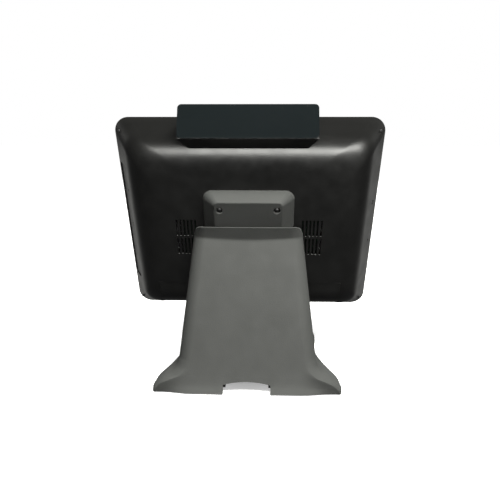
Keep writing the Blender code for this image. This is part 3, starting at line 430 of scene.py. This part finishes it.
def make_rear_cover():
    cover = make_object("rear_cover_shell", loft(pillow_rings()))
    inner = pillow_rings(WALL)
    cut(cover, loft([[(x, n - 0.004, s) for x, n, s in inner[0]]] + inner))
    corners = [(a * COVER_SCREW_X, b * COVER_SCREW_S) for a in (-1, 1) for b in (-1, 1)]
    cut(cover, merge([
        turned([(COVER_POCKET_R, COVER_POCKET_N), (COVER_POCKET_R, 0.060)], x, s, 24) for x, s in corners
    ]))
    cut(cover, block((-IO_HALF_W, IO_OPEN_N, -0.160), (IO_HALF_W, 0.060, IO_TOP_S)))
    cut(cover, wall_block(1, MODULE_LOW, MODULE_HIGH, MODULE_HALF_S, -0.006, 0.006, 0.003))
    cut(cover, merge([wall_round(-1, a, s, r, -0.0014, 0.004) for a, s, r in SIDE_PLUGS]))
    cut(cover, vent_slots())
    show(cover, "screen_head", "black_shell", "rear_cover")


COVER_SCREW_END_N = -0.0075
COVER_SCREW_HEAD = ((0.0012, 0.0), (0.0021, 0.0), (0.0020, 0.0004), (0.0014, 0.0007))     # radius, height
COVER_CROSS_REACH, COVER_CROSS_HALF_W, COVER_CROSS_LOW, COVER_CROSS_HIGH = 0.0011, 0.00025, 0.0003, 0.0020


def make_cover_screws():
    """Low heads with a cross recess, below the skin all round."""
    seat = COVER_POCKET_N + GAP
    for level, s in (("upper", COVER_SCREW_S), ("lower", -COVER_SCREW_S)):
        for side, x in (("left", -COVER_SCREW_X), ("right", COVER_SCREW_X)):
            profile = [(COVER_SCREW_HEAD[0][0], COVER_SCREW_END_N)]
            profile += [(radius, seat + up) for radius, up in COVER_SCREW_HEAD]
            name = "rear_cover_screw_" + level + "_" + side
            screw = make_object(name + "_head", turned(profile, x, s, 24), 40)
            cross = (COVER_CROSS_REACH, COVER_CROSS_HALF_W, seat + COVER_CROSS_LOW, seat + COVER_CROSS_HIGH)
            cut(screw, cross_prism(x, s, *cross), sharp=40)
            show(screw, "screen_head", "black_steel", name)


IO_SKIN_IN, IO_SKIN_BACK = 0.0008, 0.0030        # the cover's outer and inner face, below the shoulder
TONGUE_IN, TONGUE_BACK, TONGUE_ROOT, TONGUE_REACH = 0.0029, 0.0036, 0.006, 0.003


def make_io_cover():
    outer = [
        (inset, n) for inset, n in pillow_profile("bottom")
        if n > IO_COVER_LOW_N and -SCREEN_H / 2 + inset < IO_TOP_S - 0.004
    ]
    outer.append((SCREEN_H / 2 + IO_TOP_S - GAP, COVER_DEPTH))
    skin, back = offset_profile(outer, IO_SKIN_IN), offset_profile(outer, IO_SKIN_BACK)
    outline = [(n, -SCREEN_H / 2 + inset) for inset, n in skin + list(reversed(back))]
    ends = (-IO_HALF_W + GAP, IO_HALF_W - GAP)
    strips = [loft([[(x, n, s) for n, s in outline] for x in ends])]
    top, bottom = offset_profile(outer, TONGUE_IN), offset_profile(outer, TONGUE_BACK)
    outline = [(n, -SCREEN_H / 2 + inset) for inset, n in top + list(reversed(bottom))]
    for sign in (-1, 1):                # the tongues under the rear cover's edge, which close the gap
        tongue = (sign * (IO_HALF_W - TONGUE_ROOT), sign * (IO_HALF_W + TONGUE_REACH))
        strips.append(loft([[(x, n, s) for n, s in outline] for x in tongue]))
    cover = make_object("io_cover_skin", merge(strips), 30)
    soften(cover, 0.0004, 2, 50)
    show(cover, "screen_head", "black_shell", "io_cover")


# ---- bezel --------------------------------------------------------------------------------------
def make_bezel():
    half_w, half_h, front = SCREEN_W / 2, SCREEN_H / 2, -BEZEL_DEPTH

    def ring(inset, n, radius):
        outline = rounded_rectangle(-half_w + inset, half_w - inset, -half_h + inset, half_h - inset, radius)
        return [(x, n, s) for x, s in outline]

    def window(n, grow):
        w, h = VIEW_W / 2 + grow, VIEW_H / 2 + grow
        return [(x, n, s) for x, s in rounded_rectangle(-w, w, -h, h, 0.002)]

    rings = [ring(0, -GAP / 2, SCREEN_CORNER_R)]
    for k in range(9):
        angle = math.radians(90 * k / 8)
        inset = BEZEL_DRAFT + BEZEL_EDGE * (1 - math.cos(angle))
        rings.append(ring(inset, front + BEZEL_EDGE * (1 - math.sin(angle)), SCREEN_CORNER_R - inset))
    rings += [window(front, 0.0015), window(front + 0.0004, 0.0011), window(front + WALL, 0.0)]
    inner = WALL + BEZEL_DRAFT
    rings.append(ring(inner, front + WALL, SCREEN_CORNER_R - inner))
    rings.append(ring(WALL, -GAP / 2, SCREEN_CORNER_R - WALL))
    bezel = make_object("front_bezel_shell", loft(rings, closed=True))
    hole = [(BUTTON_HOLE_R, front - 0.005), (BUTTON_HOLE_R, front + 0.005)]
    cut(bezel, turned(hole, BUTTON_X, BUTTON_S))
    show(bezel, "screen_head", "black_shell", "front_bezel")


# ---- neck cover and its screws ------------------------------------------------------------------
def neck_ring(half_w, top_s, n, radius):
    outline = arc(half_w - radius, top_s - radius, radius, 0, 90, 14)
    outline += arc(-half_w + radius, top_s - radius, radius, 90, 180, 14)
    outline += [(-half_w, NECK_LOW_S), (half_w, NECK_LOW_S)]
    return [(x, n, s) for x, s in outline]


NECK_LOW_N = COVER_DEPTH + GAP
NECK_RINGS = (                  # half-width, top edge, n, corner radius
    (NECK_BASE_HALF_W, NECK_TOP_S, NECK_LOW_N, 0.0125),
    (NECK_BASE_HALF_W - 0.0012, NECK_TOP_S - 0.0006, NECK_LOW_N + 0.0045, 0.0120),
    (NECK_FACE_HALF_W, NECK_FACE_TOP_S, NECK_FACE_N, 0.0060),
)
NECK_HOLLOW_RINGS = (           # the same, before the wall is taken off
    (NECK_BASE_HALF_W, NECK_TOP_S, NECK_LOW_N - 0.002, 0.0100),
    (NECK_BASE_HALF_W - 0.0012, NECK_TOP_S - 0.0006, NECK_LOW_N + 0.0040, 0.0095),
    (NECK_FACE_HALF_W + 0.0015, NECK_FACE_TOP_S + 0.0007, NECK_FACE_N - 0.0048, 0.0040),
)
NECK_EDGE_R, HOLLOW_PAST_END = 0.0011, 0.010
NECK_WELL_DEPTH = 0.0040
NECK_WELL = ((0.0036, -NECK_WELL_DEPTH), (0.0036, -0.0010), (0.0050, 0.0004))       # radius, n from the face
NECK_SCREW_END_N = 0.0440
NECK_SCREW_HEAD = (             # radius, height over the seat
    (0.0018, 0.0), (0.0031, 0.0), (0.0031, 0.0009), (0.0028, 0.0015), (0.0022, 0.0020), (0.0012, 0.0022),
)
NECK_CROSS_REACH, NECK_CROSS_HALF_W, NECK_CROSS_LOW, NECK_CROSS_HIGH = 0.0017, 0.00035, 0.0009, 0.0040


def make_neck_cover():
    cover = make_object("neck_cover_shell", loft([neck_ring(*row) for row in NECK_RINGS]), 25)
    soften(cover, NECK_EDGE_R, 4, 12, 30)
    inner = []
    for half_w, top_s, n, radius in NECK_HOLLOW_RINGS:
        ring = neck_ring(half_w - WALL, top_s - WALL, n, radius)
        inner.append([(x, a, s if s > NECK_LOW_S + 1e-6 else s - HOLLOW_PAST_END) for x, a, s in ring])
    cut(cover, loft(inner), sharp=30)
    top = VESA_CENTRE_S + VESA_HALF
    well = [(radius, NECK_FACE_N + up) for radius, up in NECK_WELL]
    cut(cover, merge([turned(well, x, top) for x in (-VESA_HALF, VESA_HALF)]), sharp=30)
    show(cover, "screen_head", "grey_shell", "neck_cover")


def make_neck_screws():
    """Pan heads with a cross recess, at the bottom of their wells."""
    seat = NECK_FACE_N - NECK_WELL_DEPTH + GAP
    top_s = VESA_CENTRE_S + VESA_HALF
    for side, x in (("left", -VESA_HALF), ("right", VESA_HALF)):
        profile = [(NECK_SCREW_HEAD[0][0], NECK_SCREW_END_N)]
        profile += [(radius, seat + up) for radius, up in NECK_SCREW_HEAD]
        screw = make_object("neck_screw_head_" + side, turned(profile, x, top_s), 40)
        cross = (NECK_CROSS_REACH, NECK_CROSS_HALF_W, seat + NECK_CROSS_LOW, seat + NECK_CROSS_HIGH)
        cut(screw, cross_prism(x, top_s, *cross), sharp=40)
        show(screw, "screen_head", "black_steel", "neck_screw_upper_" + side)


# ---- customer display ---------------------------------------------------------------------------
def face_normal():
    along = (DISPLAY_FACE_HIGH - DISPLAY_FACE_LOW).normalized()
    return Vector((along.y, -along.x))


def face_block(half_w, low, high, near, far, radius):
    along = (DISPLAY_FACE_HIGH - DISPLAY_FACE_LOW).normalized()
    rings = []
    for depth in (near, far):
        spots = [(x, DISPLAY_FACE_LOW + along * up - face_normal() * depth)
                 for x, up in rounded_rectangle(-half_w, half_w, low, high, radius, 8)]
        rings.append([(x, spot.x, spot.y) for x, spot in spots])
    return loft(rings)


SEAT_GAP, SEAT_STEPS = 0.0006, 16                # between the housing and the shoulder it sits on
TAPER_DROP, TAPER_END_S, TAPER_PAST = 0.0025, 0.115, 0.004
BAY_HALF_W, BAY_MARGIN, BAY_DEPTH = 0.080, 0.006, 0.0165      # the hollow behind the window


def display_tapers():
    """What is taken off the housing's two lower corners, so it narrows below the window."""
    wedges = []
    low_s = DISPLAY_FACE_LOW.y - TAPER_DROP
    for sign in (-1, 1):
        corner = [(sign * DISPLAY_HALF_W, low_s), (sign * (DISPLAY_HALF_W + 0.02), low_s),
                  (sign * (DISPLAY_HALF_W + 0.02), TAPER_END_S),
                  (sign * (DISPLAY_LOW_HALF_W - TAPER_PAST), TAPER_END_S)]
        wedges.append(loft([[(x, n, s) for x, s in corner] for n in (0.005, 0.080)]))
    return merge(wedges)


def make_display():
    seat = [
        (n, SCREEN_H / 2 - inset) for inset, n in offset_profile(pillow_profile("top", SEAT_STEPS), -SEAT_GAP)
        if DISPLAY_FRONT_N + 0.002 < n < DISPLAY_SEAT_N
    ]
    start = SCREEN_H / 2 - INSETS["top"][0] * DISPLAY_FRONT_N / WALL_TOP_N + SEAT_GAP
    back = face_normal() * -(DISPLAY_WINDOW_T + GAP)
    outline = [tuple(DISPLAY_FACE_LOW + back), tuple(DISPLAY_FACE_HIGH + back)]
    outline += [(DISPLAY_FRONT_N, DISPLAY_FRONT_TOP_S), (DISPLAY_FRONT_N, start)] + seat
    ends = (-DISPLAY_HALF_W, DISPLAY_HALF_W)
    housing = make_object("display_housing_shell", loft([[(x, n, s) for n, s in outline] for x in ends]))
    cut(housing, display_tapers())
    height = (DISPLAY_FACE_HIGH - DISPLAY_FACE_LOW).length
    rounding = face_block(DISPLAY_HALF_W, -0.060, height, -0.020, 0.090, DISPLAY_CORNER_R)
    cut(housing, rounding, "INTERSECT")
    soften(housing, 0.0004, 2, 40)
    front = DISPLAY_WINDOW_T + GAP
    bay = (BAY_HALF_W, BAY_MARGIN, height - BAY_MARGIN, front - 0.004, front + BAY_DEPTH, 0.001)
    cut(housing, face_block(*bay))
    show(housing, "screen_head", "black_shell", "display_housing")
    pane = face_block(DISPLAY_HALF_W, 0.0, height, 0.0, DISPLAY_WINDOW_T, DISPLAY_CORNER_R)
    window = make_object("display_window_pane", pane)
    soften(window, 0.0002, 2, 50)
    show(window, "screen_head", "smoked_window", "display_window")


# ---- stand --------------------------------------------------------------------------------------
RIM_Z, RIM_CORNER_R = 0.2072, 0.0120
REAR_LINE = (                   # height, and the rear panel's Y at the middle
    (0.2030, 0.0486), (0.1800, 0.0556), (0.1330, 0.0695), (0.0860, 0.0830), (PANEL_LOW_Z, 0.0965),
    (0.0200, 0.1023), (0.0090, 0.1065), (0.0012, FOOT_REAR_Y),
)
COLLAR_FROM_Z, COLLAR_MID_Z = 0.150, 0.190
COLLAR_Y, COLLAR_BOW, COLLAR_SLOPE, COLLAR_BLEND = 0.0527, 0.0022, 0.24, 0.0006
WING_Y, WING_FROM_X, WING_TO_X, WING_RISE = 0.1085, 0.072, 0.108, 0.014
PANEL_FLARE = (                 # height, how far the rear panel's own edges have flared
    (0.0400, 0.00), (0.0300, 0.10), (0.0216, 0.33), (0.0185, 0.56), (0.0117, 0.84), (0.0030, 1.00),
    (0.0012, 1.00),
)
FLARE = (                       # height, how far the sides and the front have flared
    (0.0400, 0.00, 0.03), (0.0340, 0.04, 0.14), (0.0280, 0.12, 0.34), (0.0235, 0.21, 0.62),
    (0.0190, 0.34, 0.82), (0.0145, 0.50, 0.92), (0.0100, 0.68, 0.965), (0.0060, 0.84, 0.985),
    (0.0030, 0.95, 0.995), (0.0012, 1.00, 1.00),
)
FRONT_LINE = ((0.2030, 0.0095), (0.1500, 0.0095), (0.1000, 0.0055), (0.0600, 0.0010), (0.0400, -0.0020))
FOOT_HALF_WIDTHS = (            # share of the way from the rear to the front, half-width
    (0.00, 0.1215), (0.07, 0.1240), (0.20, 0.1225), (0.33, 0.1130), (0.48, 0.1020),
    (0.65, 0.0990), (0.82, 0.1030), (0.94, 0.1040), (1.00, 0.1010),
)
SIDE_STEPS, REAR_STEPS = 26, 24
EAR_SHARE = 0.22                # from the rear, where the ears reach their own flare
COLUMN_REAR_R, FOOT_REAR_R = 0.017, 0.003
COLUMN_FRONT_R, FOOT_FRONT_R = 0.010, 0.030
SIDE_FRONT_TOP_Z, SIDE_TOP = 0.182, ((0.0240, 0.1960), (0.0440, 0.2100))
BEYOND = 0.4                    # past anything that is cut
RIM_DROPS = (0.0, 0.0006, 0.0016, 0.0030, 0.0046, 0.0064, 0.0085)
HEIGHT_RUNS = ((0.1942, 0.0016, 10), (0.1780, 0.0070, 20), (0.0400, 0.0013, 30))      # top, step, count
FOOT_LOW_Z = 0.0012


def rear_face(x, z):
    """The panel, the upright collar that stands out of it at the top, and the upright wings at the foot."""
    panel = smooth_table(REAR_LINE, z)
    across = min(abs(x) / TOP_HALF_W, 1.0)
    collar = COLLAR_Y - COLLAR_BOW * across * across + COLLAR_SLOPE * (z - COLLAR_MID_Z)
    if z > COLLAR_FROM_Z:
        apart = panel - collar
        panel = (panel + collar + math.sqrt(apart * apart + COLLAR_BLEND ** 2)) / 2
    if z < FLARE[0][0]:
        share = min(max((abs(x) - WING_FROM_X) / (WING_TO_X - WING_FROM_X), 0.0), 1.0)
        share *= share * (3 - 2 * share) * min((FLARE[0][0] - z) / WING_RISE, 1.0)
        panel += (WING_Y - panel) * share
    return panel


def stand_ring(z, inward=0.0, drop=0.0):
    flared = z < FLARE[0][0]
    side_f, front_f = ((smooth_table(FLARE, z, c) if flared else 0.0) for c in (1, 2))
    panel_f = smooth_table(PANEL_FLARE, z) if flared else 0.0
    front_c = smooth_table(FRONT_LINE, z)
    front = front_c + front_f * (FOOT_FRONT_Y - front_c) + inward
    rise = max((min(z, STAND_TOP) - PANEL_LOW_Z) / (STAND_TOP - PANEL_LOW_Z), 0.0)
    column_w = LOW_HALF_W + (TOP_HALF_W - LOW_HALF_W) * rise
    rear_r = COLUMN_REAR_R + (FOOT_REAR_R - COLUMN_REAR_R) * panel_f - inward / 2
    front_r = COLUMN_FRONT_R + (FOOT_FRONT_R - COLUMN_FRONT_R) * front_f - inward / 2

    def half_width(share):
        ear = min(share / EAR_SHARE, 1.0)
        flare = panel_f + (side_f - panel_f) * ear * ear * (3 - 2 * ear)
        return column_w + flare * (smooth_table(FOOT_HALF_WIDTHS, share) - column_w) - inward

    corner_x = half_width(0.0) - rear_r
    corner_y = rear_face(corner_x, z) - inward
    points = arc(corner_x, corner_y - rear_r, rear_r, 90, 0, 12)
    span_low, span_high = corner_y - rear_r, front + front_r
    for k in range(1, SIDE_STEPS):
        share = k / SIDE_STEPS
        points.append((half_width(share), span_low + (span_high - span_low) * share))
    points += arc(half_width(1.0) - front_r, front + front_r, front_r, 0, -90, 12)
    mirrored = [(-x, y) for x, y in reversed(points)]
    across = [corner_x * (2 * k / REAR_STEPS - 1) for k in range(1, REAR_STEPS)]
    rear_edge = [(x, rear_face(x, z) - inward) for x in across]
    return [(x, y, z - drop) for x, y in points + mirrored + rear_edge]


def stand_heights():
    """Close together at the rim, the collar and the foot, and wide apart on the plain column."""
    heights = [RIM_Z - drop for drop in RIM_DROPS]
    for top, step, count in HEIGHT_RUNS:
        heights += [top - step * k for k in range(count)]
    return heights + [FOOT_LOW_Z]


def stand_solid(inward=0.0):
    if not inward:
        return loft([stand_ring(z) for z in stand_heights()])
    rings = [stand_ring(z, inward, inward if z < 0.1 else 0.0) for z in stand_heights() if z > inward + 0.001]
    top = [(x, y, RIM_Z + 0.010) for x, y, _ in rings[0]]
    bottom = [(x, y, -0.010) for x, y, _ in rings[-1]]
    return loft([top] + rings + [bottom])


def parting_prism(front_side):
    shift = GAP / 2
    if front_side:
        outline = [(-BEYOND, -0.1), (PARTING_Y - shift, -0.1), (PARTING_Y - shift, FRONT_WALL_TOP),
                   (-BEYOND, FRONT_WALL_TOP)]
    else:
        outline = [(BEYOND, -0.1), (PARTING_Y + shift, -0.1), (PARTING_Y + shift, SIDE_FRONT_TOP_Z)]
        outline += [*SIDE_TOP, (BEYOND, SIDE_TOP[-1][1])]
    return loft([[(x, y, z) for y, z in outline] for x in (-0.2, 0.2)])


def notch_prism():
    radius = (NOTCH_HALF_W ** 2 + NOTCH_RISE ** 2) / (2 * NOTCH_RISE)
    spread = math.degrees(math.asin(NOTCH_HALF_W / radius))
    outline = arc(0.0, NOTCH_SIDE_H + NOTCH_RISE - radius, radius, 90 - spread, 90 + spread, 16)
    outline = [(NOTCH_HALF_W, -0.010)] + outline + [(-NOTCH_HALF_W, -0.010)]
    return loft([[(x, y, z) for x, z in outline] for y in (0.080, 0.130)])


def rim_corners():
    """What is taken off the column's two top corners, so its outline is round there."""
    corners = []
    for sign in (-1, 1):
        x, z = sign * (TOP_HALF_W - RIM_CORNER_R), RIM_Z - RIM_CORNER_R
        outline = [(x + sign * a, z + b) for a, b in arc(0.0, 0.0, RIM_CORNER_R, 0, 90, 14)]
        outline += [(x, RIM_Z + 0.01), (x + sign * 0.03, RIM_Z + 0.01), (x + sign * 0.03, z)]
        corners.append(loft([[(a, y, b) for a, b in outline] for y in (-0.02, 0.08)]))
    return merge(corners)


def make_stand():
    for side, node in ((False, "stand_rear_cover"), (True, "stand_front_cover")):
        cover = make_object(node + "_shell", stand_solid(), 30)
        cut(cover, parting_prism(side), "INTERSECT", 30)
        cut(cover, stand_solid(STAND_WALL), sharp=30)
        if not side:
            cut(cover, notch_prism(), sharp=30)
            cut(cover, rim_corners(), sharp=30)
        show(cover, "stand", "grey_shell", node, head=False)


make_rear_cover()
make_cover_screws()
make_io_cover()
make_bezel()
make_neck_cover()
make_neck_screws()
make_display()
make_stand()


# ---- studio -------------------------------------------------------------------------------------
FLOOR_WHITE, GLOW, GLOW_FROM, GLOW_TO = (0.86, 0.86, 0.86), 0.95, 0.02, 0.18
AMBIENT, LIGHT_COLOUR = 0.085, (1.0, 1.0, 0.955)
CENTRE, SHOULDER = (0.0, 0.0, 0.20), (0.0, 0.0, 0.33)
LIGHTS = (                      # name, place, target, size, power, matte, gloss
    ("overhead", (-0.30, 0.58, 1.40), CENTRE, (0.8, 0.3), 48, True, False),
    ("shoulder_strip", (-0.55, 2.20, 0.86), SHOULDER, (2.8, 0.90), 155, False, True),
    ("behind", (0.0, -1.9, 0.9), CENTRE, (2.6, 1.4), 34, True, False),
    ("corner_card_left", (1.75, -1.0, 0.95), SHOULDER, (0.5, 0.4), 3, False, True),
    ("corner_card_right", (-1.75, -1.0, 0.95), SHOULDER, (0.5, 0.4), 3, False, True),
    ("floor_card_left", (-1.0, -1.2, -0.35), CENTRE, (1.4, 1.0), 2, False, True),
    ("floor_card_right", (1.0, -1.2, -0.35), CENTRE, (1.4, 1.0), 2, False, True),
)
CAMERA_PLACE, CAMERA_AIM, CAMERA_DOWN = Vector((-0.0215, 0.6615, 0.3400)), Vector((0.0, -0.0375, 0.0)), 15.0
LENS, SENSOR = 34.85, 36.0


def add_area(name, place, target, size, power, matte, gloss):
    """A soft box the camera doesn't see; matte and gloss say which reflections it lights."""
    data = bpy.data.lights.new(name, "AREA")
    data.shape = "RECTANGLE"
    data.size, data.size_y = size
    data.energy = power
    data.color = LIGHT_COLOUR
    lamp = bpy.data.objects.new(name, data)
    bpy.context.scene.collection.objects.link(lamp)
    lamp.location = place
    lamp.rotation_euler = (Vector(target) - Vector(place)).to_track_quat("-Z", "Y").to_euler()
    lamp.visible_camera = False
    lamp.visible_diffuse = matte
    lamp.visible_glossy = gloss


def make_floor():
    """A pale floor that glows to white away from the object, so no horizon shows."""
    outline = rounded_rectangle(-6, 6, -6, 6, 2.0, 12)
    floor = make_object("floor", loft([[(x, y, z) for x, y in outline] for z in (-0.02, 0.0)]))
    pale = new_material("studio_floor", FLOOR_WHITE, 0.7)
    add_surface(pale, FLOOR_WHITE, 0.7, 300, 0.00005, 0.1, 0.01)
    tree = pale.node_tree
    shader = tree.nodes["Principled BSDF"]
    shader.inputs["Emission Color"].default_value = (1.0, 1.0, 1.0, 1.0)
    place = tree.nodes.new("ShaderNodeTexCoord")
    reach = tree.nodes.new("ShaderNodeVectorMath")
    reach.operation = "LENGTH"
    tree.links.new(place.outputs["Object"], reach.inputs[0])
    glow = map_range(tree, reach.outputs["Value"], 0.0, GLOW, GLOW_FROM, GLOW_TO)
    tree.links.new(glow, shader.inputs["Emission Strength"])
    floor.data.materials.append(pale)
    floor.visible_diffuse = False
    floor.visible_shadow = False
    floor.visible_glossy = False


def make_world():
    """Plain white where the camera sees it, and dim where it lights the object."""
    world = bpy.data.worlds.new("studio")
    bpy.context.scene.world = world
    world.use_nodes = True
    tree = world.node_tree
    sky = tree.nodes["Background"]
    backdrop = tree.nodes.new("ShaderNodeBackground")
    for node, strength in ((sky, AMBIENT), (backdrop, 1.0)):
        node.inputs["Color"].default_value = (1.0, 1.0, 1.0, 1.0)
        node.inputs["Strength"].default_value = strength
    path, mixed = tree.nodes.new("ShaderNodeLightPath"), tree.nodes.new("ShaderNodeMixShader")
    tree.links.new(path.outputs["Is Camera Ray"], mixed.inputs[0])
    tree.links.new(sky.outputs[0], mixed.inputs[1])
    tree.links.new(backdrop.outputs[0], mixed.inputs[2])
    tree.links.new(mixed.outputs[0], tree.nodes["World Output"].inputs["Surface"])


def make_camera():
    data = bpy.data.cameras.new("camera")
    data.sensor_width = SENSOR
    data.lens = LENS
    camera = bpy.data.objects.new("camera", data)
    bpy.context.scene.collection.objects.link(camera)
    camera.location = CAMERA_PLACE
    flat = Vector((CAMERA_AIM.x - CAMERA_PLACE.x, CAMERA_AIM.y - CAMERA_PLACE.y, 0.0))
    direction = flat.normalized() - Vector((0, 0, math.tan(math.radians(CAMERA_DOWN))))
    camera.rotation_euler = direction.to_track_quat("-Z", "Y").to_euler()
    bpy.context.scene.camera = camera


make_floor()
for light in LIGHTS:
    add_area(*light)
make_world()
make_camera()
bpy.context.scene.view_settings.view_transform = "Standard"
